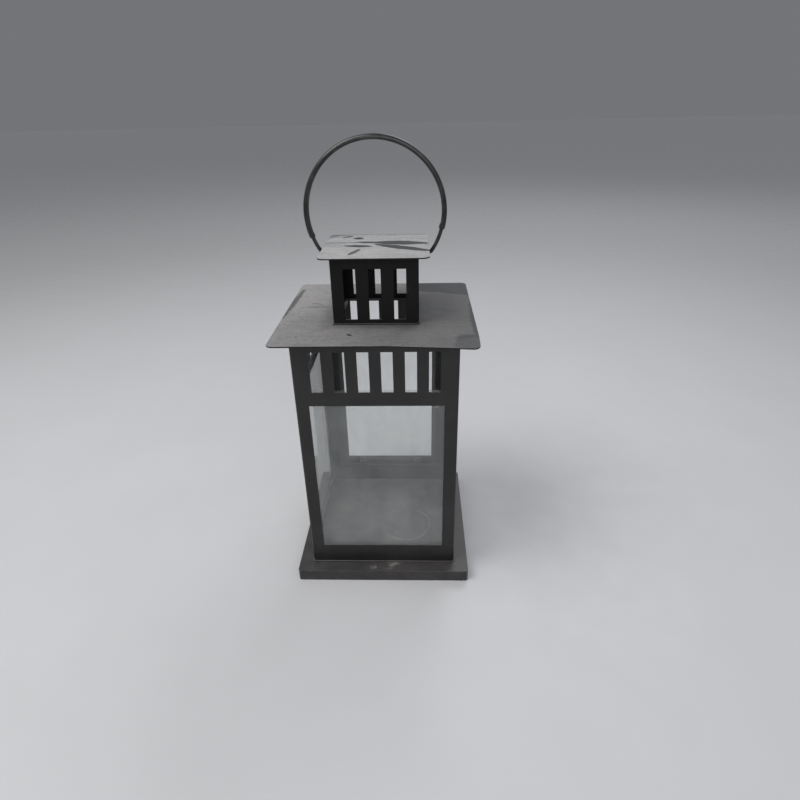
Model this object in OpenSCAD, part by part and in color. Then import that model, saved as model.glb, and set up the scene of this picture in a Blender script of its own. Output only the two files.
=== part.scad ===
// Square candle lantern in folded sheet steel. Millimetres, +Z up, origin at the
// middle of the underside. The glazed, slotted front faces -Y and the door faces +Y.

/* [Base tray] */
// Side of the square base tray
base_w = 154; // [148:1:156]
// Height of the base tray
base_h = 11; // [9:0.5:14]
// Outside radius of the tray's upright corners
base_corner_r = 2.5; // [1.5:0.5:4]
// Width of the turned-in flange that the tray stands on
base_flange = 6; // [4:1:12]
// Distance from a corner to the seam in the front and rear skirts
seam_inset = 3.6; // [3:0.2:6]
// Width of the open seam
seam_gap = 0.3; // [0.2:0.1:0.5]

/* [Sheet and glass] */
// Thickness of the folded steel sheet
sheet = 0.8; // [0.6:0.1:1]
// Thickness of the flat roof and cap plates
plate = 1; // [0.8:0.1:1.4]
// Thickness of the glass panes
glass = 1.8; // [1.5:0.1:2.4]

/* [Body] */
// Outside width of the square body
body_w = 129; // [126:1:131]
// Outside radius of the bends at the body's upright corners
body_bend_r = 2; // [1.4:0.1:2.4]
// How far the front and rear walls wrap round on to the side walls
corner_flange = 8; // [7:0.5:9]
// Width of the turned-in flange at the top of each wall
top_flange = 8; // [6:0.5:9]
// How far the lip at the foot of the body stands out
foot_lip = 0.9; // [0.5:0.1:1.2]
// Height of the rail below the window, from the tray
sill_h = 19.7; // [17:0.5:24]
// Width of the window in each wall
window_w = 107.2; // [104:0.4:108]
// Height of the window in each wall
window_h = 143.7; // [130:1:155]
// Height of the solid band between window and slots
band_h = 11.8; // [10:0.2:16]
// Height of the strip above the slots
head_h = 9.7; // [9:0.1:12]

/* [Vent slots] */
// Number of slots in each wall
slot_count = 6; // [4:1:6]
// Width of one slot
slot_w = 9.1; // [7:0.1:10]
// Height of one slot
slot_h = 34.1; // [26:0.5:40]
// Distance from one slot to the next
slot_pitch = 18.3; // [17:0.1:18.5]

/* [Roof plate] */
// Side of the square roof plate
roof_w = 156.5; // [150:0.5:160]
// Radius of the roof plate's corners
roof_corner_r = 5; // [3:0.5:8]
// Side of the square smoke hole under the chimney
smoke_hole_w = 58; // [50:1:60]
// Where the bent front corner starts, along the front edge
crease_start_x = 10; // [0:1:30]
// Where the bent front corner ends, along the right edge
crease_end_y = -62.3; // [-64:0.1:-62]
// How far the front right corner is bent down
crease_angle = 10.4; // [4:0.2:14]

/* [Chimney] */
// Outside width of the square chimney
chimney_w = 67.5; // [66:0.5:72]
// Outside radius of the chimney's upright bends
chimney_bend_r = 1.5; // [1.2:0.1:3]
// Width of one chimney window
vent_w = 9.6; // [8:0.1:10]
// Height of one chimney window
vent_h = 39.8; // [30:0.5:42]
// Distance from one chimney window to the next
vent_pitch = 19.3; // [18:0.1:20]
// Height of the chimney wall below its windows
vent_sill = 4.1; // [3:0.1:6]
// Height of the chimney wall above its windows
vent_head = 9.1; // [8:0.1:12]
// Width of the turned-in flange at the chimney's top
chimney_flange = 6; // [4:0.5:8]

/* [Cap plate] */
// Side of the square cap plate
cap_w = 84; // [80:1:85]
// Radius of the cap plate's corners
cap_corner_r = 6; // [4:0.5:9]

/* [Bail handle] */
// Diameter of the bail's wire
wire_d = 3; // [2.4:0.1:3.4]
// Radius of the bail's ring, to the middle of the wire
ring_r = 53.2; // [52:0.2:56]
// Height of the ring's centre above the pivots
ring_rise = 31.1; // [28:0.2:33]
// Radius of the bend between the ring and each pivot end
bend_r = 4; // [3:0.5:6]
// Height of the pivots above the chimney windows
pivot_rise = 4.2; // [4:0.1:4.8]
// Radius of the flattened heads on the wire's ends
wire_head_r = 2.4; // [2:0.1:2.6]
// Arc that the rolled grip covers
grip_span = 212; // [160:1:216]
// How far the grip has slid round the wire
grip_slide = 3; // [0:0.5:4]
// Sheet thickness of the rolled grip
grip_sheet = 0.9; // [0.6:0.1:1]
// How far the grip's two edges reach inward past the wire's middle
grip_leg = 1.5; // [1:0.1:1.8]

/* [Door] */
// Overlap of the door leaf on the wall at its free edge, top and bottom
door_lap = 4; // [3:0.1:4.4]
// Overlap of the door leaf on the wall at its hinged edge
hinge_lap = 1.8; // [1.4:0.1:2]
// Gap between the door leaf and the wall
door_gap = 0.5; // [0.4:0.1:0.7]
// Width of the door leaf beside its window, at the hinges
hinge_stile = 11.6; // [11:0.1:13]
// Width of the door leaf beside its window, at the free edge
free_stile = 11; // [10.6:0.1:12]
// Height of the door leaf below its window
low_rail = 14.4; // [13:0.1:16]
// Height of the door leaf above its window
top_rail = 12.9; // [12.5:0.1:16]
// Radius of the door leaf's corners
door_corner_r = 2; // [1:0.5:4]

/* [Door hinges] */
// Height of each hinge
hinge_h = 24; // [18:1:30]
// Distance of each hinge's middle from the door's nearer end
hinge_inset = 26; // [20:1:40]
// Outside radius of the knuckles
knuckle_r = 1.5; // [1.3:0.1:1.6]
// Diameter of the hinge pins
hinge_pin_d = 1.6; // [1.2:0.1:1.8]
// Sheet thickness of the hinge leaves
hinge_sheet = 0.6; // [0.5:0.1:0.7]
// Width of the hinge leaf on the wall
frame_leaf_w = 5.2; // [4.6:0.1:5.4]
// Width of the hinge leaf on the door
door_leaf_w = 8; // [6:0.1:9]

/* [Knob and latch] */
// Radius of the door knob
knob_r = 4.2; // [3.5:0.1:4.6]
// Radius of the knob's neck
knob_neck_r = 2; // [1.6:0.1:2.4]
// Height of the knob from the door leaf to its end
knob_len = 10.5; // [9:0.5:14]
// Distance of the knob from the door's free edge
knob_inset = 5.7; // [5.5:0.1:5.8]
// Diameter of the rivets through the knob and the latch
rivet_d = 2; // [1.6:0.1:2.2]
// Height of the latch's pivot above the knob
latch_rise = 18; // [16:1:30]
// Length of the latch's arm from its pivot
latch_arm = 11; // [10:0.5:14]
// Width of the latch
latch_w = 5.6; // [4.6:0.1:6]
// Height of the latch's turned-up finger tab
latch_tab = 3; // [2:0.5:4]

/* [Pane clips] */
// Width of one clip
clip_w = 7; // [5:0.5:8]
// Thickness of the clip's strip
clip_sheet = 0.5; // [0.4:0.1:0.7]
// Length of the clip's foot, which is welded to the wall
clip_foot = 4; // [3:0.1:4.2]
// Length of the clip's tongue, which overlaps the glass
clip_tongue = 3; // [2:0.1:3.2]
// How far the glass laps behind the sheet at a wall's window
pane_lap = 6; // [4:0.5:6]
// How far the glass laps behind the sheet at the door's window
door_pane_lap = 3.5; // [3:0.1:3.6]
// How far the top edge of a wall's glass shows in the slots
pane_show = 0.8; // [0.4:0.1:1.2]

/* [Clearances] */
// Gap between parts that turn past each other
turn_gap = 0.3; // [0.2:0.1:0.5]
// Radial play of a pin in its hole
pin_play = 0.06; // [0.02:0.01:0.1]
// Play of a welded or clipped part beside its neighbour
seat_gap = 0.1; // [0.05:0.05:0.3]

/* [Tabs] */
// Width of the tabs that clinch the walls and chimney to the plates
tab_w = 8; // [6:0.5:10]
// Length of a tab's turned-over end
tab_turn = 5; // [3:0.5:6]
// Distance of a wall's tabs from the wall's middle
tab_offset = 36; // [28:1:44]

/* [Hidden] */
$fn = 48;

// Margin by which a cutter passes the faces that it cuts
cut = 1;

// Heights, from the table up
window_z = base_h + sill_h;
window_top = window_z + window_h;
slot_z = window_top + band_h;
wall_top = slot_z + slot_h + head_h;
roof_top = wall_top + plate;
vent_z = roof_top + vent_sill;
pivot_z = vent_z + vent_h + pivot_rise;
chimney_top = vent_z + vent_h + vent_head;
ring_z = pivot_z + ring_rise;

// The side walls lie inside the wrapped corners of the front and rear walls
side_face = body_w / 2 - sheet;
side_len = body_w - 2 * body_bend_r - seat_gap;
wall_inner = body_w / 2 - sheet;
side_inner = side_face - sheet;

// Slots and the bars between them
bar_1 = (slot_count / 2 - 1) * slot_pitch;
clip_x = min(bar_1, window_w / 2 + pane_lap - clip_w);

// Pane size behind a wall
pane_w = window_w + 2 * pane_lap;
pane_z = window_z - pane_lap;
pane_h = slot_z + pane_show - pane_z;

// Door leaf, seen from the front: the hinges are on the left, the knob on the right
door_x0 = -window_w / 2 - hinge_lap;
door_x1 = window_w / 2 + door_lap;
door_z = window_z - door_lap;
door_h = window_h + 2 * door_lap;
door_y = body_w / 2 + door_gap;
door_face = door_y + sheet;
door_window_x0 = door_x0 + hinge_stile;
door_window_x1 = door_x1 - free_stile;
door_window_z0 = door_z + low_rail;
door_window_z1 = door_z + door_h - top_rail;
door_mid_x = (door_window_x0 + door_window_x1) / 2;

// Hinge axis and knuckles
hinge_x = door_x0 - knuckle_r - turn_gap - seat_gap;
hinge_y = body_w / 2 + knuckle_r + turn_gap;
hinge_zs = [door_z + hinge_inset, door_z + door_h - hinge_inset];
knuckle_gap = 0.2;
knuckle_h = (hinge_h - 2 * knuckle_gap) / 3;
pin_head_h = 0.5;
pin_head_r = knuckle_r - seat_gap;

// Knob and latch
knob_x = door_x1 - knob_inset;
knob_z = door_z + door_h / 2;
knob_base_h = 1.4;
rivet_head_h = 0.5;
knob_rivet_head_r = 1.4;
latch_x = (door_x1 + body_w / 2) / 2;
latch_z = knob_z + latch_rise;
latch_y = door_face + turn_gap;
latch_tail = 4;
latch_inner_head_r = 1.6;
latch_head_r = 2.4;
latch_head_h = 1.2;

// Bail: the bend's centre, and the angle below level where the ring takes over
bend_x = sqrt(pow(ring_r - bend_r, 2) - pow(ring_rise - bend_r, 2));
ring_foot_angle = atan((ring_rise - bend_r) / bend_x);
wire_head_h = 1;
// The wire swells a little in its two tight bends, which run slightly past the straight parts
bend_swell = 0.05;
bend_run_on = 2;
chimney_inner = chimney_w / 2 - sheet;
wire_end_x = chimney_inner - turn_gap - wire_head_h;
grip_start = 90 + grip_slide - grip_span / 2;
grip_inner_r = wire_d / 2 + seat_gap;
grip_outer_r = grip_inner_r + grip_sheet;
// Arc of each crimped end, and how far it stands out past the open part of the grip
crimp_angle = 4;
crimp_past = 1;

// A square with quarter-round corners, centred on the origin
module round_square(w, r) {
    square([w, w - 2 * r], center = true);
    square([w - 2 * r, w], center = true);
    for (sx = [-1, 1], sy = [-1, 1])
        translate([sx * (w / 2 - r), sy * (w / 2 - r)]) circle(r);
}

// A rectangle with quarter-round corners, from its lower left corner
module round_rect(w, h, r) {
    translate([r, 0]) square([w - 2 * r, h]);
    translate([0, r]) square([w, h - 2 * r]);
    for (x = [r, w - r], y = [r, h - r])
        translate([x, y]) circle(r);
}

// A plate standing in the XZ plane: its drawing is (x, z), and it runs from y to y + thick
module standing(y, thick) {
    translate([0, y + thick, 0]) rotate([90, 0, 0]) linear_extrude(thick) children();
}

// A round bar or hole along Y, from y to y + len
module bar_y(x, y, z, r, len) {
    translate([x, y, z]) rotate([-90, 0, 0]) cylinder(r = r, h = len);
}

// Turns a part of the front wall round to the wall named by its compass angle
module on_wall(angle) {
    rotate([0, 0, angle]) children();
}

// Window, slots and nothing else: what is cut out of every wall, as (x, z)
module wall_openings() {
    translate([-window_w / 2, window_z]) square([window_w, window_h]);
    for (i = [0:slot_count - 1])
        translate([(i - (slot_count - 1) / 2) * slot_pitch - slot_w / 2, slot_z])
            square([slot_w, slot_h]);
}

// Tabs on a wall's foot: each goes down through the tray and turns in under it.
// The drawing is (y, z), with the wall's outer face at y.
module foot_tabs(y) {
    drop = sheet + seat_gap;
    for (sx = [-1, 1])
        translate([sx * tab_offset - tab_w / 2, 0, 0]) {
            translate([0, y, base_h - drop - sheet]) cube([tab_w, sheet, drop + sheet + cut]);
            translate([0, y, base_h - drop - sheet]) cube([tab_w, tab_turn, sheet]);
        }
}

// Slots in the tray for one wall's tabs, with the wall's outer face at y
module tab_slots(y) {
    for (sx = [-1, 1])
        translate([sx * tab_offset - tab_w / 2 - seat_gap, y - seat_gap, base_h - sheet - cut])
            cube([tab_w + 2 * seat_gap, sheet + 2 * seat_gap, sheet + 2 * cut]);
}

// Mitred flange turned in at the top of a wall, its outer face at y
module turned_flange(half, y) {
    translate([0, 0, wall_top - sheet]) linear_extrude(sheet)
        polygon([[-half, y], [half, y], [half - top_flange, y + top_flange],
            [top_flange - half, y + top_flange]]);
}

// Wall that wraps round both corners: used for the front and, turned round, for the rear
module wrapped_wall() {
    flat = body_w - 2 * body_bend_r;
    front = -body_w / 2;
    difference() {
        union() {
            translate([0, 0, base_h]) linear_extrude(wall_top - base_h) wrapped_outline();
            translate([0, 0, base_h]) linear_extrude(sheet) foot_outline();
            turned_flange(flat / 2 - seat_gap, front + sheet / 2);
            foot_tabs(front);
        }
        standing(front - cut, sheet + 2 * cut) wall_openings();
    }
}

// Plan of the wrapped wall: a flat, two quarter bends and two short flanges
module wrapped_outline() {
    flat = body_w - 2 * body_bend_r;
    front = -body_w / 2;
    translate([-flat / 2, front]) square([flat, sheet]);
    for (sx = [0, 1]) mirror([sx, 0]) {
        translate([flat / 2, front + body_bend_r]) quarter_bend(body_bend_r);
        translate([body_w / 2 - sheet, front + body_bend_r])
            square([sheet, corner_flange - body_bend_r]);
    }
}

// Quarter ring of sheet from straight down to straight right, about its bend's centre
module quarter_bend(r) {
    intersection() {
        difference() {
            circle(r);
            circle(r - sheet);
        }
        translate([0, -r]) square(r);
    }
}

// Plan of the lip at the foot, which follows the wrapped wall
module foot_outline() {
    outer = body_w / 2 + foot_lip;
    intersection() {
        difference() {
            round_square(2 * outer, body_bend_r + foot_lip);
            round_square(body_w - sheet, body_bend_r - sheet / 2);
        }
        translate([-outer, -outer]) square([2 * outer, corner_flange + foot_lip]);
    }
}

// Flat side wall, drawn as the front wall is and turned round by its caller
module side_wall_sheet() {
    face = -side_face;
    lip = body_w / 2 + foot_lip - side_face;
    lip_len = body_w - 2 * corner_flange - 2 * seat_gap;
    difference() {
        union() {
            standing(face, sheet) translate([-side_len / 2, base_h])
                square([side_len, wall_top - base_h]);
            translate([-lip_len / 2, face - lip, base_h]) cube([lip_len, lip + sheet / 2, sheet]);
            turned_flange(side_len / 2 - top_flange / 2, face + sheet / 2);
            foot_tabs(face);
        }
        standing(face - cut, sheet + 2 * cut) wall_openings();
    }
}

// Rectangular pane behind the wall whose inner face is at y
module wall_pane(y) {
    standing(y, glass) translate([-pane_w / 2, pane_z]) square([pane_w, pane_h]);
}

// Bent strip that holds a pane's edge: its foot lies on the sheet at y, and the pane is below
module clip(x, y, z, up) {
    step = glass + clip_sheet;
    translate([x, y, z]) mirror([0, 0, up ? 0 : 1]) translate([-clip_w / 2, 0, 0]) {
        cube([clip_w, clip_sheet, clip_foot]);
        cube([clip_w, step, clip_sheet]);
        translate([0, glass, -clip_tongue]) cube([clip_w, clip_sheet, clip_tongue + clip_sheet]);
    }
}

// The four clips of one wall's pane
module wall_clips(y) {
    for (sx = [-1, 1]) {
        clip(sx * clip_x, y, pane_z + pane_h + seat_gap, true);
        clip(sx * clip_x, y, pane_z, false);
    }
}

// Folded tray: top plate, skirt, turned-in flange to stand on, and seams beside the corners
module base_tray() {
    inner_r = base_corner_r - sheet;
    color("dimgray") difference() {
        linear_extrude(base_h) round_square(base_w, base_corner_r);
        translate([0, 0, sheet]) linear_extrude(base_h - 2 * sheet)
            round_square(base_w - 2 * sheet, inner_r);
        translate([0, 0, -cut]) linear_extrude(sheet + 2 * cut)
            round_square(base_w - 2 * base_flange, base_corner_r);
        for (sx = [-1, 1], sy = [-1, 1])
            translate([sx * (base_w / 2 - seam_inset) - seam_gap / 2,
                sy * (base_w / 2 - base_flange / 2) - base_flange, -cut])
                cube([seam_gap, 2 * base_flange, base_h - sheet + cut]);
        for (angle = [0, 180]) on_wall(angle) tab_slots(-body_w / 2);
        for (angle = [90, 270]) on_wall(angle) tab_slots(-side_face);
    }
}

module front_wall() {
    color("black") wrapped_wall();
}

module rear_frame() {
    color("black") difference() {
        on_wall(180) wrapped_wall();
        bar_y(latch_x, wall_inner - cut, latch_z, rivet_d / 2, sheet + 2 * cut);
    }
}

module left_wall() {
    color("black") on_wall(270) side_wall_sheet();
}

module right_wall() {
    color("black") on_wall(90) side_wall_sheet();
}

module front_pane() {
    color("lightcyan", 0.4) wall_pane(-wall_inner);
}

module left_pane() {
    color("lightcyan", 0.4) on_wall(270) wall_pane(-side_inner);
}

module right_pane() {
    color("lightcyan", 0.4) on_wall(90) wall_pane(-side_inner);
}

module front_clips() {
    color("dimgray") wall_clips(-wall_inner);
}

module left_clips() {
    color("dimgray") on_wall(270) wall_clips(-side_inner);
}

module right_clips() {
    color("dimgray") on_wall(90) wall_clips(-side_inner);
}

// Outline of the roof's bent corner, beyond the crease
module crease_region() {
    edge = roof_w / 2;
    polygon([[crease_start_x, -edge], [edge, crease_end_y], [edge + cut, crease_end_y],
        [edge + cut, -edge - cut], [crease_start_x, -edge - cut]]);
}

// Roof plate: smoke hole, slots for the chimney's tabs, and one corner bent down
module roof_plate() {
    edge = roof_w / 2;
    crease_turn = atan2(crease_end_y + edge, edge - crease_start_x);
    color("gray") difference() {
        union() {
            translate([0, 0, wall_top]) linear_extrude(plate) difference() {
                round_square(roof_w, roof_corner_r);
                crease_region();
            }
            translate([crease_start_x, -edge, roof_top]) rotate([0, 0, crease_turn])
                rotate([crease_angle, 0, 0]) rotate([0, 0, -crease_turn])
                    translate([-crease_start_x, edge, -plate]) linear_extrude(plate) intersection() {
                        round_square(roof_w, roof_corner_r);
                        crease_region();
                    }
        }
        translate([0, 0, wall_top - cut]) linear_extrude(plate + 2 * cut)
            square(smoke_hole_w, center = true);
        for (angle = [0:90:270]) on_wall(angle)
            translate([-tab_w / 2 - seat_gap, -chimney_w / 2 - seat_gap, wall_top - cut])
                cube([tab_w + 2 * seat_gap, sheet + 2 * seat_gap, plate + 2 * cut]);
    }
}

// Square tube with three tall windows a side, a lip and tabs at its foot, a flange at its top
// and a hole through each side for the bail
module chimney() {
    inner = chimney_w - 2 * sheet;
    drop = plate + seat_gap;
    color("black") difference() {
        union() {
            difference() {
                union() {
                    translate([0, 0, roof_top]) linear_extrude(chimney_top - roof_top)
                        round_square(chimney_w, chimney_bend_r);
                    translate([0, 0, roof_top]) linear_extrude(sheet)
                        round_square(chimney_w + 2 * foot_lip, chimney_bend_r + foot_lip);
                }
                translate([0, 0, roof_top - cut])
                    linear_extrude(chimney_top - roof_top - sheet + cut)
                        round_square(inner, chimney_bend_r - sheet);
                translate([0, 0, chimney_top - sheet - cut]) linear_extrude(sheet + 2 * cut)
                    square(inner - 2 * chimney_flange, center = true);
            }
            for (angle = [0:90:270]) on_wall(angle)
                translate([-tab_w / 2, -chimney_w / 2, roof_top - drop - sheet]) {
                    cube([tab_w, sheet, drop + sheet + vent_sill / 2]);
                    translate([0, sheet - tab_turn, 0]) cube([tab_w, tab_turn, sheet]);
                }
        }
        for (angle = [0, 90], i = [-1:1]) on_wall(angle)
            translate([i * vent_pitch - vent_w / 2, -chimney_w / 2 - cut, vent_z])
                cube([vent_w, chimney_w + 2 * cut, vent_h]);
        translate([-chimney_w / 2 - cut, 0, pivot_z]) rotate([0, 90, 0])
            cylinder(r = wire_d / 2 + pin_play, h = chimney_w + 2 * cut);
    }
}

module cap_plate() {
    color("lightgray") translate([0, 0, chimney_top]) linear_extrude(plate)
        round_square(cap_w, cap_corner_r);
}

// Arc of round wire in the XZ plane, about its own centre, from one angle over to another
module wire_arc(r, from, sweep, wire_r) {
    rotate([90, 0, 0]) rotate([0, 0, from]) rotate_extrude(angle = sweep)
        translate([r, 0]) circle(wire_r);
}

// Bail: ring, two bends, and two straight ends that turn in the chimney's side holes
module bail_wire() {
    color("black") {
        translate([0, 0, ring_z])
            wire_arc(ring_r, -ring_foot_angle, 180 + 2 * ring_foot_angle, wire_d / 2);
        for (sx = [0, 1]) mirror([sx, 0, 0]) {
            translate([bend_x, 0, pivot_z + bend_r])
                wire_arc(bend_r, -90 - bend_run_on, 90 - ring_foot_angle + 2 * bend_run_on,
                    wire_d / 2 + bend_swell);
            translate([wire_end_x, 0, pivot_z]) rotate([0, 90, 0]) {
                cylinder(r = wire_d / 2, h = bend_x - wire_end_x);
                cylinder(r = wire_head_r, h = wire_head_h);
            }
        }
    }
}

// Section of the rolled grip, with the wire's middle at the origin and +x outward
module grip_section() {
    difference() {
        union() {
            circle(grip_outer_r);
            translate([-grip_leg, -grip_outer_r]) square([grip_leg, 2 * grip_outer_r]);
        }
        circle(grip_inner_r);
        translate([-grip_outer_r - cut, -grip_inner_r])
            square([grip_outer_r + cut, 2 * grip_inner_r]);
        translate([-grip_outer_r - cut, -grip_outer_r])
            square([grip_outer_r + cut - grip_leg, 2 * grip_outer_r]);
    }
}

// Closed band at each end of the grip, where it is crimped down on the wire
module crimp_section() {
    difference() {
        circle(grip_outer_r - grip_sheet / 4);
        circle(wire_d / 2);
    }
}

// Rolled sheet grip round the upper part of the ring, open towards the inside
module bail_grip() {
    color("black") translate([0, 0, ring_z]) rotate([90, 0, 0]) {
        rotate([0, 0, grip_start]) rotate_extrude(angle = grip_span)
            translate([ring_r, 0]) grip_section();
        for (start = [grip_start - crimp_past, grip_start + grip_span + crimp_past - crimp_angle])
            rotate([0, 0, start]) rotate_extrude(angle = crimp_angle)
                translate([ring_r, 0]) crimp_section();
    }
}

// Flat door leaf with its window and the hole for the knob's rivet
module door_leaf() {
    color("black") difference() {
        standing(door_y, sheet) difference() {
            translate([door_x0, door_z]) round_rect(door_x1 - door_x0, door_h, door_corner_r);
            translate([door_window_x0, door_window_z0])
                square([door_window_x1 - door_window_x0, door_window_z1 - door_window_z0]);
        }
        bar_y(knob_x, door_y - cut, knob_z, rivet_d / 2, sheet + 2 * cut);
    }
}

module door_pane() {
    color("lightcyan", 0.4) standing(door_y - glass, glass)
        translate([door_window_x0 - door_pane_lap, door_window_z0 - door_pane_lap])
            square([door_window_x1 - door_window_x0 + 2 * door_pane_lap,
                door_window_z1 - door_window_z0 + 2 * door_pane_lap]);
}

// The door's clips, on the leaf's inner face
module door_clips() {
    low = door_window_z0 - door_pane_lap;
    high = door_window_z1 + door_pane_lap + seat_gap;
    reach = (door_window_x1 - door_window_x0) / 3;
    color("dimgray") translate([door_mid_x, 0, 0]) rotate([0, 0, 180]) for (sx = [-1, 1]) {
        clip(sx * reach, -door_y, high, true);
        clip(sx * reach, -door_y, low, false);
    }
}

// One knuckle of a hinge, solid, with its lower end at z
module knuckle(z) {
    translate([hinge_x, hinge_y, z]) cylinder(r = knuckle_r, h = knuckle_h);
}

// Bore down the middle of a hinge
module pin_bore(z, r) {
    translate([hinge_x, hinge_y, z - hinge_h / 2 - cut]) cylinder(r = r, h = hinge_h + 2 * cut);
}

// Hinge leaves on the wall: a flat leaf with the middle knuckle, which grips the pin
module frame_hinge_leaves() {
    leaf_x = hinge_x - frame_leaf_w;
    short_w = frame_leaf_w - knuckle_r - turn_gap;
    color("dimgray") for (z = hinge_zs) difference() {
        union() {
            translate([leaf_x, body_w / 2, z - hinge_h / 2]) cube([short_w, hinge_sheet, hinge_h]);
            translate([leaf_x, body_w / 2, z - knuckle_h / 2])
                cube([frame_leaf_w, hinge_sheet, knuckle_h]);
            knuckle(z - knuckle_h / 2);
        }
        pin_bore(z, hinge_pin_d / 2);
    }
}

// Hinge leaves on the door: a flat leaf with the outer knuckles, which turn on the pin
module door_hinge_leaves() {
    leaf_end = hinge_x + knuckle_r + turn_gap;
    leaf_far = hinge_x + door_leaf_w;
    color("dimgray") for (z = hinge_zs) difference() {
        union() {
            translate([leaf_end, door_face, z - hinge_h / 2])
                cube([leaf_far - leaf_end, hinge_sheet, hinge_h]);
            for (low = [z - hinge_h / 2, z + hinge_h / 2 - knuckle_h]) {
                translate([hinge_x, door_face, low])
                    cube([leaf_far - hinge_x, hinge_sheet, knuckle_h]);
                knuckle(low);
            }
        }
        pin_bore(z, hinge_pin_d / 2 + pin_play);
    }
}

// Pins with a flat head at each end, held by the wall's knuckles
module hinge_pins() {
    rod_h = hinge_h + 2 * seat_gap;
    color("silver") for (z = hinge_zs) translate([hinge_x, hinge_y, z]) {
        cylinder(r = hinge_pin_d / 2, h = rod_h, center = true);
        for (s = [0, 1]) mirror([0, 0, s]) translate([0, 0, rod_h / 2])
            cylinder(r = pin_head_r, h = pin_head_h);
    }
}

// Turned knob: a foot, a neck and a ball flattened on its end
module door_knob() {
    ball_y = knob_len - knob_r;
    color("black") translate([knob_x, door_face, knob_z]) rotate([-90, 0, 0]) difference() {
        union() {
            cylinder(r = knob_neck_r + knob_base_h / 2, h = knob_base_h);
            cylinder(r = knob_neck_r, h = ball_y);
            intersection() {
                translate([0, 0, ball_y]) sphere(knob_r);
                cylinder(r = knob_r + cut, h = knob_len - knob_r / 8);
            }
        }
        translate([0, 0, -cut]) cylinder(r = rivet_d / 2, h = ball_y + cut);
    }
}

// Rivet that holds the knob: its head is inside the door, its shank ends in the knob
module knob_rivet() {
    shank = sheet + knob_len - knob_r;
    color("silver") {
        bar_y(knob_x, door_y, knob_z, rivet_d / 2, shank);
        bar_y(knob_x, door_y - rivet_head_h, knob_z, knob_rivet_head_r, rivet_head_h);
    }
}

// Turn-button: hangs down beside the door when open, and swings over the door's edge to shut
module latch() {
    half = latch_w / 2;
    color("dimgray") difference() {
        union() {
            standing(latch_y, sheet) {
                translate([latch_x, latch_z]) circle(half);
                translate([latch_x - half, latch_z - latch_arm]) square([latch_w, latch_arm]);
                translate([latch_x - half / 2, latch_z]) square([half, latch_tail]);
            }
            translate([latch_x - half, latch_y, latch_z - latch_arm])
                cube([latch_w, latch_tab + sheet, sheet]);
        }
        bar_y(latch_x, latch_y - cut, latch_z, rivet_d / 2 + pin_play, sheet + 2 * cut);
    }
}

// Washer that holds the latch clear of the door's face
module latch_washer() {
    thick = latch_y - body_w / 2 - seat_gap;
    color("silver") difference() {
        bar_y(latch_x, body_w / 2, latch_z, latch_head_r, thick);
        bar_y(latch_x, body_w / 2 - cut, latch_z, rivet_d / 2, thick + 2 * cut);
    }
}

// Rivet that the latch turns on
module latch_rivet() {
    head_y = latch_y + sheet + seat_gap;
    color("silver") {
        bar_y(latch_x, wall_inner, latch_z, rivet_d / 2, head_y - wall_inner);
        bar_y(latch_x, wall_inner - rivet_head_h, latch_z, latch_inner_head_r, rivet_head_h);
        translate([latch_x, head_y, latch_z]) rotate([-90, 0, 0]) intersection() {
            cylinder(r = latch_head_r, h = latch_head_h);
            translate([0, 0, latch_head_h - latch_head_r * 2]) sphere(latch_head_r * 2);
        }
    }
}

base_tray();
front_wall();
left_wall();
right_wall();
rear_frame();
roof_plate();
chimney();
cap_plate();
bail_wire();
bail_grip();
front_pane();
left_pane();
right_pane();
front_clips();
left_clips();
right_clips();
door_leaf();
door_pane();
door_clips();
frame_hinge_leaves();
door_hinge_leaves();
hinge_pins();
door_knob();
knob_rivet();
latch();
latch_washer();
latch_rivet();
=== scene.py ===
"""Looks of the candle lantern: painted sheet steel, dust, glass, floor, lamps and camera. Metres."""
import math

import bpy
from mathutils import Matrix, Vector

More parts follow.
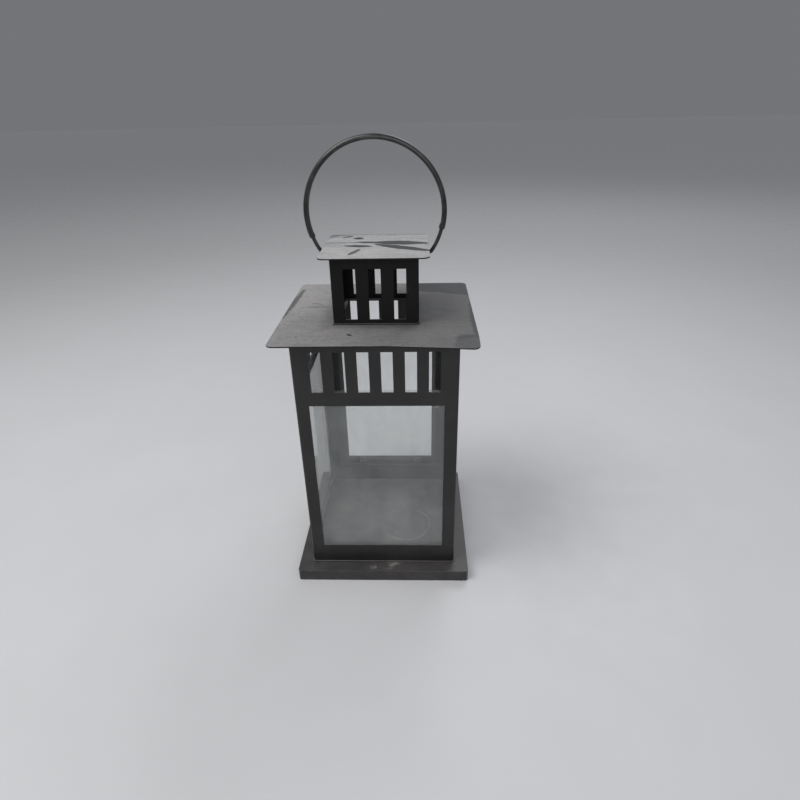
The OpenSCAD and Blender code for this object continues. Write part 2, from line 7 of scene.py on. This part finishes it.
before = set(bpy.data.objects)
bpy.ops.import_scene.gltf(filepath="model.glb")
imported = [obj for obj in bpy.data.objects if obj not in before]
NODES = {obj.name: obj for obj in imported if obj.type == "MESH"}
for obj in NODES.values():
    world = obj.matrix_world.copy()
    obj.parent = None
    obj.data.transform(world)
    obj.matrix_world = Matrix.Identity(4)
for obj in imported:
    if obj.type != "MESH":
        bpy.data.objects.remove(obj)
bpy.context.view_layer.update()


# ---------------------------------------------------------------- node helpers
class Tree:
    """A material's nodes, built by short calls that return the socket to read."""

    def __init__(self, name):
        self.mat = bpy.data.materials.new(name)
        self.mat.use_nodes = True
        self.nt = self.mat.node_tree
        self.nt.nodes.clear()
        self.out = self.nt.nodes.new("ShaderNodeOutputMaterial")
        self.place = self.nt.nodes.new("ShaderNodeTexCoord").outputs["Object"]
        self.geo = self.nt.nodes.new("ShaderNodeNewGeometry")

    def put(self, socket, value):
        if isinstance(value, bpy.types.NodeSocket):
            self.nt.links.new(value, socket)
        elif value is not None:
            socket.default_value = value

    def node(self, kind, out=0, **props):
        inputs = props.pop("ins", {})
        n = self.nt.nodes.new(kind)
        for k, v in props.items():
            setattr(n, k, v)
        for k, v in inputs.items():
            self.put(n.inputs[k], v)
        return n.outputs[out]

    def math(self, op, a, b=None, c=None, clamp=False):
        ins = {0: a}
        if b is not None:
            ins[1] = b
        if c is not None:
            ins[2] = c
        return self.node("ShaderNodeMath", operation=op, use_clamp=clamp, ins=ins)

    def add(self, a, b):
        return self.math("ADD", a, b)

    def sub(self, a, b):
        return self.math("SUBTRACT", a, b)

    def mul(self, a, b):
        return self.math("MULTIPLY", a, b)

    def step(self, v, low, high, to_low=0.0, to_high=1.0):
        """Smooth rise of v from low to high, given as to_low to to_high."""
        return self.node("ShaderNodeMapRange", interpolation_type="SMOOTHSTEP",
                         ins={0: v, 1: low, 2: high, 3: to_low, 4: to_high})

    def noise(self, scale, detail=3.0, rough=0.55, distort=0.0, stretch=None):
        v = self.place
        if stretch:
            v = self.node("ShaderNodeMapping", ins={"Vector": v, "Scale": stretch})
        ins = {"Vector": v, "Scale": scale, "Detail": detail, "Roughness": rough,
               "Distortion": distort}
        return self.node("ShaderNodeTexNoise", ins=ins)

    def cells(self, scale):
        return self.node("ShaderNodeTexVoronoi", ins={"Vector": self.place, "Scale": scale})

    def mix(self, f, a, b):
        n = self.nt.nodes.new("ShaderNodeMix")
        n.data_type = "RGBA"
        self.put(n.inputs[0], f)
        self.put(n.inputs[6], a)
        self.put(n.inputs[7], b)
        return n.outputs[2]

    def xyz(self, vector=None):
        """The three parts of a vector, which is the place in the object unless given."""
        s = self.nt.nodes.new("ShaderNodeSeparateXYZ")
        self.put(s.inputs[0], vector or self.place)
        return s.outputs[0], s.outputs[1], s.outputs[2]

    def up(self):
        """1 on what faces up, 0 on what is upright, -1 underneath."""
        return self.xyz(self.geo.outputs["True Normal"])[2]

    def length(self, a, b):
        return self.math("SQRT", self.add(self.mul(a, a), self.mul(b, b)))

    def wobble(self, scale, amount):
        """The place, shifted by noise, for marks with uneven edges."""
        n = self.nt.nodes.new("ShaderNodeTexNoise")
        self.put(n.inputs["Vector"], self.place)
        n.inputs["Scale"].default_value = scale
        n.inputs["Detail"].default_value = 4.0
        v = self.node("ShaderNodeVectorMath", operation="SUBTRACT",
                      ins={0: n.outputs["Color"], 1: (0.5, 0.5, 0.5)})
        return self.node("ShaderNodeVectorMath", operation="MULTIPLY_ADD",
                         ins={0: v, 1: (amount, amount, amount), 2: self.place})

    def stroke(self, place, a, b, width, soft=0.0006):
        """1 inside a stroke from a to b (mm), seen from above, and 0 outside it."""
        ax, ay, bx, by = (mm / 1000 for mm in (*a, *b))
        x, y, _ = self.xyz(place)
        dx, dy = bx - ax, by - ay
        ll = dx * dx + dy * dy
        px, py = self.sub(x, ax), self.sub(y, ay)
        t = self.math("DIVIDE", self.add(self.mul(px, dx), self.mul(py, dy)), ll, clamp=True)
        ex, ey = self.sub(px, self.mul(t, dx)), self.sub(py, self.mul(t, dy))
        d = self.length(ex, ey)
        w = self.math("MULTIPLY_ADD", self.mul(t, self.sub(1.0, t)), width * 4 / 1000, soft)
        return self.step(self.sub(d, w), -soft, soft, 1.0, 0.0)

    def most(self, values):
        top = values[0]
        for value in values[1:]:
            top = self.math("MAXIMUM", top, value)
        return top

    def left_over(self, v):
        """1 less v, never under 0."""
        return self.math("SUBTRACT", 1.0, v, clamp=True)

    def mix_shader(self, f, a, b):
        n = self.nt.nodes.new("ShaderNodeMixShader")
        self.put(n.inputs[0], f)
        self.nt.links.new(a, n.inputs[1])
        self.nt.links.new(b, n.inputs[2])
        return n.outputs[0]

    def worn_edge(self, radius, low=0.02, high=0.35):
        """0 on flats, up to 1 where the sheet's edge is sharp."""
        bevel = self.node("ShaderNodeBevel", samples=6, ins={"Radius": radius})
        dot = self.node("ShaderNodeVectorMath", out=1, operation="DOT_PRODUCT",
                        ins={0: bevel, 1: self.geo.outputs["True Normal"]})
        return self.step(self.sub(1.0, dot), low, high), bevel

    def shade(self, color, rough, bump, strength, distance, normal=None, **fixed):
        """The principled shader. fixed gives sockets that are the same all over."""
        p = self.nt.nodes.new("ShaderNodeBsdfPrincipled")
        self.put(p.inputs["Base Color"], color)
        self.put(p.inputs["Roughness"], rough)
        for k, v in fixed.items():
            p.inputs[k.replace("_", " ")].default_value = v
        b = self.nt.nodes.new("ShaderNodeBump")
        b.inputs["Strength"].default_value = strength
        b.inputs["Distance"].default_value = distance
        self.put(b.inputs["Height"], bump)
        self.put(b.inputs["Normal"], normal)
        self.put(p.inputs["Normal"], b.outputs[0])
        return p.outputs[0]

    def done(self, shader):
        self.nt.links.new(shader, self.out.inputs["Surface"])
        return self.mat


def grey(v, tint=(1, 1, 1)):
    return (v * tint[0], v * tint[1], v * tint[2], 1.0)


# colours that more than one material uses, or that say what they are (linear)
DUST = (0.300, 0.296, 0.300, 1.0)
RUST = (0.070, 0.032, 0.018, 1.0)
ROOF_DUST = (0.272, 0.264, 0.265, 1)
# painted sheen: the cap's dust is given a lighter tone than the roof's for the light it reflects from
# above and behind
CAP_DUST_AND_SHEEN = (0.335, 0.333, 0.336, 1)
TRAY_DUST = (0.44, 0.43, 0.42, 1)
GLASS_DUST = (0.52, 0.525, 0.53, 1)
GLASS_TINT = (0.975, 0.984, 0.980, 1)
RUBBED_WALL = (0.075, 0.068, 0.066, 1)
RUBBED_TRAY = (0.085, 0.078, 0.080, 1)
RUBBED_BAIL = (0.10, 0.098, 0.10, 1)
BARE_BAIL = (0.12, 0.115, 0.115, 1)
STEEL_STAIN = (0.10, 0.06, 0.04, 1)
FLOOR_NEAR = (0.50, 0.50, 0.515, 1)
FLOOR_FAR_PAINTED_SHADE = (0.33, 0.328, 0.335, 1)
FLOOR_CLOUD = (0.3, 0.3, 0.3, 1)
WORLD_LIGHT = (0.93, 0.96, 1.0, 1)
WORLD_SEEN = (0.172, 0.175, 0.186, 1)
GLASS_INDEX = 1.5


# ---------------------------------------------------------------- painted steel
def painted(name, paint, film, settle, rust, edge, rough=0.42, warm=0.3, **fixed):
    """Black paint with a fine orange-peel surface, rubbed edges, a film of dust, dust that has
    settled on what faces up, and a little rust."""
    t = Tree(name)
    broad = t.noise(14, 4, 0.6, 0.4)
    middle = t.noise(85, 5, 0.62, 0.3)
    fine = t.noise(900, 3, 0.6)
    grain = t.noise(3200, 2, 0.5)
    base = t.mix(t.mul(t.step(broad, 0.35, 0.75), warm), grey(paint, (1.0, 0.95, 1.0)),
                 grey(paint * 1.5, (1.25, 0.92, 0.88)))
    base = t.mix(t.step(middle, 0.45, 0.8, 0.0, 0.5), base, grey(paint * 1.9, (1.0, 0.98, 1.02)))
    edges, bevel = t.worn_edge(0.00045)
    worn = t.mul(edges, t.step(middle, 0.35, 0.65, 0.25, 1.0))
    base = t.mix(t.mul(worn, edge), base, RUBBED_WALL)
    spots = t.mul(t.step(t.noise(46, 6, 0.7, 0.8), 0.60, 0.70), t.step(broad, 0.4, 0.62))
    base = t.mix(t.mul(spots, rust), base, RUST)
    facing = t.step(t.up(), 0.35, 0.95)
    speck = t.step(t.noise(1500, 2, 0.6), 0.62, 0.72)
    film_now = t.mul(t.step(t.noise(30, 6, 0.65, 0.5), 0.3, 0.8), film * 2)
    cloud = t.step(t.noise(60, 6, 0.7, 0.3), 0.2, 0.8, 0.35, 1.0)
    settled = t.mul(facing, t.mul(cloud, settle))
    dust = t.math("MAXIMUM", t.add(film_now, t.mul(speck, film * 1.6)), settled)
    color = t.mix(dust, base, DUST)
    roughness = t.math("ADD", t.step(middle, 0.2, 0.8, rough - 0.07, rough + 0.1),
                       t.mul(dust, 0.5), clamp=True)
    height = t.add(t.mul(fine, 0.6), t.add(t.mul(grain, 0.25), t.mul(dust, 0.8)))
    return t.done(t.shade(color, roughness, height, 0.22, 0.00012, bevel, **fixed))


# ---------------------------------------------------------------- dusty plates
def dusty(name, cover, marks, tone, paint=0.006, ridge=None):
    """A plate under dust. cover(t) gives the dust's thickness and marks(t) what has been wiped."""
    t = Tree(name)
    facing = t.step(t.up(), 0.2, 0.8)
    grain = t.noise(1300, 4, 0.7)
    clump = t.noise(260, 5, 0.68, 0.4)
    broad = t.noise(38, 5, 0.6, 0.3)
    sweep = t.noise(30, 4, 0.6, 0.2, stretch=(1.0, 7.0, 1.0))
    amount = t.mul(cover(t), t.step(clump, 0.25, 0.7, 0.78, 1.06))
    amount = t.mul(amount, t.step(grain, 0.25, 0.75, 0.74, 1.18))
    amount = t.mul(amount, t.step(broad, 0.3, 0.7, 0.9, 1.06))
    amount = t.mul(amount, t.step(sweep, 0.35, 0.65, 0.93, 1.04))
    pits = t.step(t.cells(240), 0.10, 0.16)
    pits = t.math("MAXIMUM", pits, t.step(t.noise(90, 2), 0.52, 0.60))
    amount = t.mul(amount, t.math("MULTIPLY_ADD", pits, 0.35, 0.65))
    wiped = marks(t)
    amount = t.mul(amount, t.left_over(t.mul(wiped, t.step(grain, 0.3, 0.7, 1.0, 0.93))))
    amount = t.mul(amount, facing)
    edges, bevel = t.worn_edge(0.0005)
    amount = t.mul(amount, t.left_over(t.mul(edges, t.step(clump, 0.4, 0.6, 0.1, 0.8))))
    under = t.mix(t.step(broad, 0.3, 0.7), grey(paint, (1.0, 0.98, 1.12)),
                  grey(paint * 2.2, (0.98, 0.98, 1.15)))
    full = t.math("MINIMUM", amount, 1.0)
    color = t.mix(full, under, tone)
    roughness = t.math("MULTIPLY_ADD", full, 0.5, 0.42)
    height = t.add(t.mul(grain, 0.5), t.add(t.mul(amount, 1.2), t.mul(clump, 0.5)))
    if ridge:
        height = t.add(height, ridge(t))
    return t.done(t.shade(color, roughness, height, 0.35, 0.0002, bevel,
                          Specular_IOR_Level=0.3))


def roof_dust_and_painted_shade(t):
    """Dust on the roof with painted shade: darker to the right and in front, partly thinner dust and
    partly painted shade from light falling from the upper left and back, and darkest round the
    chimney's foot, where the chimney's painted shadow falls.
    """
    x, y, _ = t.xyz()
    # painted shade: the roof darkens toward the right, partly thinner dust and partly shade from the
    # light's direction
    right = t.step(x, -0.070, 0.082, 1.0, 0.40)
    # painted shade: the roof darkens toward the front, partly thinner dust and partly shade from
    # light falling from the back
    back = t.step(y, -0.03, 0.075, 0.86, 1.08)
    half = t.math("MAXIMUM", t.math("ABSOLUTE", x), t.math("ABSOLUTE", y))
    # painted shadow of the chimney: the roof darkens round the chimney's foot
    chimney_foot_painted_shadow = t.step(half, 0.034, 0.050, 0.62, 1.0)
    return t.mul(t.mul(right, back), chimney_foot_painted_shadow)


def roof_marks(t):
    """Two wiped corners, rubbed edges, streaks and spots."""
    q = t.wobble(190, 0.004)
    x, y, _ = t.xyz(t.wobble(70, 0.006))
    # the back right corner, wiped up to a curved edge
    past = t.math("MAXIMUM", t.sub(x, 0.033), 0.0)
    bow = t.math("MULTIPLY_ADD", t.math("POWER", past, 1.6), -2.0, 0.0515)
    patch = t.mul(t.step(t.sub(y, bow), -0.001, 0.0014), t.step(x, 0.022, 0.034))
    corner = t.stroke(q, (62, -74), (82, -62), 9.5, 0.003)
    edge = t.stroke(q, (77, -60), (79, 20), 1.6, 0.0016)
    left = t.mul(t.stroke(q, (-79, -20), (-74, 60), 1.6, 0.0012), 0.7)
    streaks = t.most([t.stroke(q, (-62, 10), (-44, 10), 0.7), t.stroke(q, (-60, 21), (-50, 17), 0.6),
                      t.stroke(q, (40, 6), (66, -6), 1.0, 0.001)])
    spots = t.most([t.stroke(q, (-60, -60), (-59, -60), 0.8),
                    t.stroke(q, (52, -32), (53, -32), 0.8),
                    t.stroke(q, (-20, -55), (-18, -58), 0.9)])
    brushed = t.noise(160, 3, 0.6, 0.2, stretch=(1.0, 6.0, 1.0))
    patch = t.mul(patch, t.step(brushed, 0.35, 0.7, 1.06, 0.82))
    corner = t.mul(corner, t.step(brushed, 0.3, 0.7, 1.05, 0.7))
    return t.most([patch, corner, edge, left, t.mul(streaks, 0.45), spots])


def roof_crease(t):
    """A faint crease across the plate."""
    y = t.xyz()[1]
    return t.step(t.math("ABSOLUTE", t.sub(y, 0.006)), 0.0, 0.0014, 2.5, 0.0)


def cap_cover(t):
    """Thinner at the back left corner and along the back edge."""
    x, y, _ = t.xyz()
    corner = t.step(t.sub(y, x), 0.058, 0.080, 1.0, 0.30)
    rim = t.step(y, 0.036, 0.042, 1.0, 0.55)
    return t.mul(t.mul(corner, rim), 1.05)


def cap_marks(t):
    """Leaf-shaped wiped marks and thin scratches."""
    q = t.wobble(120, 0.0035)
    r = t.wobble(300, 0.002)
    big = [t.stroke(q, (-6, 11), (43, 6), 6.2), t.stroke(q, (-3, 5), (46, -22), 4.6),
           t.stroke(q, (-25, -0.5), (-3, -3), 3.2), t.stroke(q, (-21, 28), (-12, 25), 3.6),
           t.stroke(q, (-18, 12.5), (4, 10), 2.4)]
    thin = [t.stroke(r, (-19, -31), (-12, -12), 1.6), t.stroke(r, (-43, 10), (-14, 11.5), 0.5),
            t.stroke(r, (24, 16), (41, 2), 0.5), t.stroke(r, (-30, 30), (-22, 36), 1.8)]
    return t.most([t.mul(t.most(big), 1.04), t.mul(t.most(thin), 0.85)])


# ---------------------------------------------------------------- glass
def pane(name, dirt, streak=1.0):
    """Clear sheet glass that mirrors and lets through, under a thin uneven film of dust."""
    t = Tree(name)
    # the same share is mirrored at the far face of the sheet as at the near one
    index = t.math("MULTIPLY_ADD", t.geo.outputs["Backfacing"], 1 / GLASS_INDEX - GLASS_INDEX,
                   GLASS_INDEX)
    fresnel = t.node("ShaderNodeFresnel", ins={"IOR": index})
    smear = t.noise(26, 6, 0.62, 0.8)
    run = t.noise(30, 5, 0.6, 0.3, stretch=(3.0, 3.0, 0.5))
    fine = t.noise(2200, 2, 0.6)
    film = t.mul(t.step(smear, 0.25, 0.8, 0.62, 1.35), t.step(run, 0.3, 0.7, 0.85, 1.12))
    film = t.mul(film, t.step(fine, 0.3, 0.7, 0.9, 1.1))
    specks = t.mul(t.step(t.cells(420), 0.05, 0.09, 1.0, 0.0),
                   t.step(t.noise(18, 3), 0.48, 0.62, 0.0, 0.5 * streak))
    film = t.math("MULTIPLY_ADD", film, dirt, specks)
    gloss_rough = t.step(smear, 0.3, 0.8, 0.02, 0.09)
    clear = t.node("ShaderNodeBsdfTransparent", ins={0: GLASS_TINT})
    gloss = t.node("ShaderNodeBsdfGlossy", ins={"Color": (1, 1, 1, 1), "Roughness": gloss_rough})
    dust = t.node("ShaderNodeBsdfDiffuse", ins={0: GLASS_DUST})
    return t.done(t.mix_shader(film, t.mix_shader(fresnel, clear, gloss), dust))


# ---------------------------------------------------------------- bare steel
def steel(name, tone, rough):
    """Bare drawn steel, dull in places and a little stained."""
    t = Tree(name)
    broad = t.noise(120, 4, 0.6, 0.4)
    lines = t.noise(500, 3, 0.6, 0.0, stretch=(1.0, 1.0, 9.0))
    stain = t.step(t.noise(300, 5, 0.7, 0.6), 0.52, 0.72)
    metal = t.mix(t.step(broad, 0.3, 0.7), grey(tone, (1.0, 0.98, 0.95)), grey(tone * 0.7))
    color = t.mix(t.mul(stain, 0.6), metal, STEEL_STAIN)
    roughness = t.math("ADD", t.step(lines, 0.3, 0.7, rough - 0.08, rough + 0.12),
                       t.mul(stain, 0.25), clamp=True)
    return t.done(t.shade(color, roughness, lines, 0.2, 0.0001, Metallic=0.9))


# ---------------------------------------------------------------- tray
def tray_material():
    """The tray is painted like the walls, with more dust: a scuffed front, spots of rust, and inside
    the body a dusty floor with the ring that a candle has left."""
    t = Tree("tray_paint")
    x, y, z = t.xyz()
    broad = t.noise(16, 4, 0.6, 0.4)
    middle = t.noise(80, 6, 0.65, 0.5)
    fine = t.noise(900, 3, 0.6)
    base = t.mix(t.step(broad, 0.35, 0.7), grey(0.012, (1.0, 0.95, 1.05)),
                 grey(0.022, (1.15, 0.95, 0.95)))
    edges, bevel = t.worn_edge(0.0006)
    base = t.mix(t.mul(edges, t.step(middle, 0.35, 0.6, 0.15, 0.7)), base, RUBBED_TRAY)
    spots = t.mul(t.step(middle, 0.56, 0.66), t.step(t.noise(22, 3), 0.46, 0.6))
    base = t.mix(t.mul(spots, 0.5), base, RUST)
    half = t.math("MAXIMUM", t.math("ABSOLUTE", x), t.math("ABSOLUTE", y))
    inside = t.mul(t.step(half, 0.0630, 0.0640, 1.0, 0.0), t.step(z, 0.0100, 0.0106))
    facing = t.step(t.up(), 0.35, 0.95)
    cloud = t.step(t.noise(42, 6, 0.68, 0.6), 0.25, 0.78, 0.45, 1.15)
    grain = t.step(t.noise(1500, 3, 0.7), 0.3, 0.7, 0.8, 1.2)
    out_dust = t.mul(t.mul(facing, cloud), t.mul(grain, 0.075))
    scuff = t.stroke(t.wobble(160, 0.008), (-10, -73), (12, -66), 3.2, 0.0025)
    scuffed = t.mul(t.mul(scuff, facing), t.step(middle, 0.45, 0.65, 0.0, 0.22))
    out_dust = t.add(out_dust, scuffed)
    in_dust = t.mul(t.mul(facing, cloud), t.mul(grain, 0.22))
    # the candle's ring, 47 mm across
    qx, qy, _ = t.xyz(t.wobble(60, 0.003))
    r = t.length(t.sub(qx, 0.020), t.add(qy, 0.012))
    ring = t.step(t.math("ABSOLUTE", t.sub(r, 0.0235)), 0.0003, 0.0014, 1.0, 0.0)
    ring = t.mul(ring, t.step(t.noise(40, 3), 0.42, 0.58))
    in_dust = t.add(in_dust, t.mul(ring, 0.20))
    dust = t.add(t.mul(inside, in_dust), t.mul(t.sub(1.0, inside), out_dust))
    film = t.mul(t.step(middle, 0.3, 0.8), 0.05)
    dust = t.math("MAXIMUM", dust, film)
    color = t.mix(dust, base, TRAY_DUST)
    roughness = t.math("MULTIPLY_ADD", dust, 0.8, 0.40, clamp=True)
    height = t.add(t.mul(fine, 0.6), t.mul(dust, 1.5))
    return t.done(t.shade(color, roughness, height, 0.25, 0.00015, bevel))


def bail_material(name, rough, wear):
    """Smooth black paint, rubbed by hands and bare along its edges."""
    t = Tree(name)
    broad = t.noise(60, 4, 0.6, 0.3)
    fine = t.noise(1200, 3, 0.6)
    edges, bevel = t.worn_edge(0.0004)
    base = t.mix(t.step(broad, 0.35, 0.7), grey(0.008, (1.0, 0.96, 1.0)),
                 grey(0.018, (1.0, 0.97, 1.02)))
    rub = t.mul(t.step(t.noise(110, 5, 0.66, 0.4), 0.48, 0.68), wear)
    base = t.mix(rub, base, RUBBED_BAIL)
    base = t.mix(t.mul(edges, 0.6), base, BARE_BAIL)
    roughness = t.step(broad, 0.2, 0.8, rough, rough + 0.14)
    return t.done(t.shade(base, roughness, fine, 0.15, 0.0001, bevel))


MATERIALS = {
    "wall": painted("wall_paint", 0.005, film=0.013, settle=0.42, rust=0.20, edge=0.7),
    "chimney": painted("chimney_paint", 0.003, film=0.002, settle=0.5, rust=0.35, edge=0.4,
                       rough=0.55, warm=0.9, Specular_IOR_Level=0.22),
    "leaf": painted("door_paint", 0.006, film=0.020, settle=0.42, rust=0.15, edge=0.8),
    "hinge": painted("hinge_paint", 0.016, film=0.02, settle=0.3, rust=0.35, edge=0.9, rough=0.36),
    "roof": dusty("roof_dust", roof_dust_and_painted_shade, roof_marks, ROOF_DUST, ridge=roof_crease),
    "cap": dusty("cap_dust", cap_cover, cap_marks, CAP_DUST_AND_SHEEN),
    "tray": tray_material(),
    "wire": bail_material("bail_wire_paint", 0.30, 0.35),
    "grip": bail_material("bail_grip_paint", 0.24, 0.22),
    "front_glass": pane("front_glass", 0.10),
    "side_glass": pane("side_glass", 0.10, 1.6),
    "door_glass": pane("door_glass", 0.10),
    "clip": steel("clip_steel", 0.30, 0.42),
    "rivet": steel("rivet_steel", 0.42, 0.34),
}
WEARS = {
    "base_tray": "tray", "front_wall": "wall", "left_wall": "wall", "right_wall": "wall",
    "rear_frame": "wall", "roof_plate": "roof", "chimney": "chimney", "cap_plate": "cap",
    "bail_wire": "wire", "bail_grip": "grip", "front_pane": "front_glass",
    "left_pane": "side_glass", "right_pane": "side_glass", "door_pane": "door_glass",
    "front_clips": "clip", "left_clips": "clip", "right_clips": "clip", "door_clips": "clip",
    "door_leaf": "leaf", "frame_hinge_leaves": "hinge", "door_hinge_leaves": "hinge",
    "hinge_pins": "rivet", "door_knob": "hinge", "knob_rivet": "rivet", "latch": "hinge",
    "latch_washer": "rivet", "latch_rivet": "rivet",
}
for node_name, key in WEARS.items():
    mesh = NODES[node_name].data
    mesh.materials.clear()
    mesh.materials.append(MATERIALS[key])


# ---------------------------------------------------------------- floor
def floor_material():
    """Pale, with a painted pool of light round the lantern: the colour darkens farther from it, as
    painted shade.
    """
    t = Tree("floor")
    x, y, _ = t.xyz()
    # painted pool of light: pale near the lantern, darkening with distance as painted shade
    color = t.mix(t.step(t.length(x, t.add(y, 0.20)), 0.35, 1.7), FLOOR_NEAR, FLOOR_FAR_PAINTED_SHADE)
    color = t.mix(t.step(t.noise(9, 4), 0.3, 0.7, 0.0, 0.06), color, FLOOR_CLOUD)
    roughness = t.step(t.noise(40, 3), 0.3, 0.7, 0.48, 0.58)
    return t.done(t.shade(color, roughness, t.noise(700, 2), 0.05, 0.0001))


floor_mesh = bpy.data.meshes.new("floor")
REACH = 12.0
corners = [(-REACH, -REACH, 0), (REACH, -REACH, 0), (REACH, REACH, 0), (-REACH, REACH, 0)]
floor_mesh.from_pydata(corners, [], [(0, 1, 2, 3)])
floor = bpy.data.objects.new("floor", floor_mesh)
bpy.context.scene.collection.objects.link(floor)
floor.data.materials.append(floor_material())


# ---------------------------------------------------------------- light
world = bpy.data.worlds.new("studio")
bpy.context.scene.world = world
world.use_nodes = True
wn = world.node_tree
wn.nodes.clear()
w_out = wn.nodes.new("ShaderNodeOutputWorld")
w_light = wn.nodes.new("ShaderNodeBackground")
w_light.inputs[0].default_value = WORLD_LIGHT
w_light.inputs[1].default_value = 0.42
w_seen = wn.nodes.new("ShaderNodeBackground")
w_seen.inputs[0].default_value = WORLD_SEEN
w_path = wn.nodes.new("ShaderNodeLightPath")
w_mix = wn.nodes.new("ShaderNodeMixShader")
wn.links.new(w_path.outputs["Is Camera Ray"], w_mix.inputs[0])
wn.links.new(w_light.outputs[0], w_mix.inputs[1])
wn.links.new(w_seen.outputs[0], w_mix.inputs[2])
wn.links.new(w_mix.outputs[0], w_out.inputs[0])


def lamp(name, where, aim, size, power, color):
    data = bpy.data.lights.new(name, "AREA")
    data.shape = "RECTANGLE"
    data.size, data.size_y = size
    data.energy = power
    data.color = color
    o = bpy.data.objects.new(name, data)
    bpy.context.scene.collection.objects.link(o)
    o.location = where
    o.rotation_euler = (Vector(aim) - Vector(where)).to_track_quat("-Z", "Y").to_euler()


lamp("key", (-1.1, -0.5, 1.9), (0, 0, 0.15), (1.3, 1.3), 33, (1.0, 0.985, 0.96))
lamp("front", (0.5, -2.0, 1.3), (0, 0, 0.15), (1.6, 1.2), 14, (0.96, 0.98, 1.0))
lamp("back", (0.7, 1.6, 1.7), (0, 0, 0.2), (1.2, 0.8), 13, (0.97, 0.985, 1.0))


# ---------------------------------------------------------------- camera, as fitted to the photograph
PITCH, YAW, ROLL = math.radians(28.03), math.radians(-2.21), math.radians(-1.29)
EYE = (0.03352, -0.45162, 0.38598)
LENS_MM = 25.254
ahead = Vector((math.sin(YAW), math.cos(YAW), 0))
side = Vector((math.cos(YAW), -math.sin(YAW), 0))
look = math.cos(PITCH) * ahead - math.sin(PITCH) * Vector((0, 0, 1))
rise = math.sin(PITCH) * ahead + math.cos(PITCH) * Vector((0, 0, 1))
right = math.cos(ROLL) * side + math.sin(ROLL) * rise
above = -math.sin(ROLL) * side + math.cos(ROLL) * rise
camera_data = bpy.data.cameras.new("camera")
camera_data.sensor_fit = "HORIZONTAL"
camera_data.sensor_width = 36.0
camera_data.lens = LENS_MM
camera_data.clip_start = 0.01
camera_data.clip_end = 60.0
camera = bpy.data.objects.new("camera", camera_data)
bpy.context.scene.collection.objects.link(camera)
turn = Matrix((right, above, -look)).transposed().to_4x4()
camera.matrix_world = Matrix.Translation(EYE) @ turn
bpy.context.scene.camera = camera

bpy.context.scene.view_settings.view_transform = "Standard"
